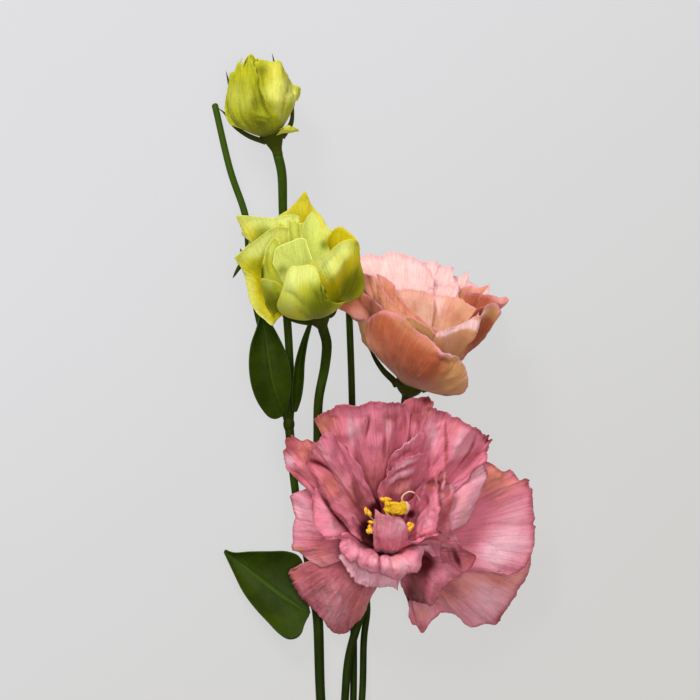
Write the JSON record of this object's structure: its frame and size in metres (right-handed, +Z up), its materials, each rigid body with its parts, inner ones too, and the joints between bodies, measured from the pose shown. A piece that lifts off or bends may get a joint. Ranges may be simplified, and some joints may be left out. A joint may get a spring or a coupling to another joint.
{
  "type": "lisianthus spray",
  "caption": "Cut lisianthus spray lying down: wide open ruffled pink bloom, half-open salmon bloom, opening green bud, closed bud, leaves and branching stem.",
  "frame": {"origin": "on the table under the middle of the lying spray's bounding box", "axes": "+Y along the stem from its cut end to the closed bud, +X to the side of the salmon bloom, +Z up off the table"},
  "size_m": [0.1007, 0.2877, 0.0452],
  "materials": {
    "stem": "smooth dark green stem",
    "leaf": "satin green leaf",
    "calyx": "satin dark green",
    "pink_petal": "soft ruffled petal",
    "salmon_petal": "soft petal",
    "green_petal": "soft petal",
    "bud_petal": "soft petal",
    "anther": "powdery",
    "stigma": "velvety"
  },
  "bodies": {
    "root": {"stem": "stem", "leaf_upper_left": "leaf", "leaf_upper_right": "leaf", "leaf_lower_left": "leaf", "pink_calyx": "calyx", "pink_corolla": "pink_petal", "pink_stamens": "anther", "pink_pistil": "stigma", "salmon_calyx": "calyx", "salmon_corolla": "salmon_petal", "opening_calyx": "calyx", "opening_corolla": "green_petal", "closed_calyx": "calyx", "closed_corolla": "bud_petal"}
  },
  "joints": []
}
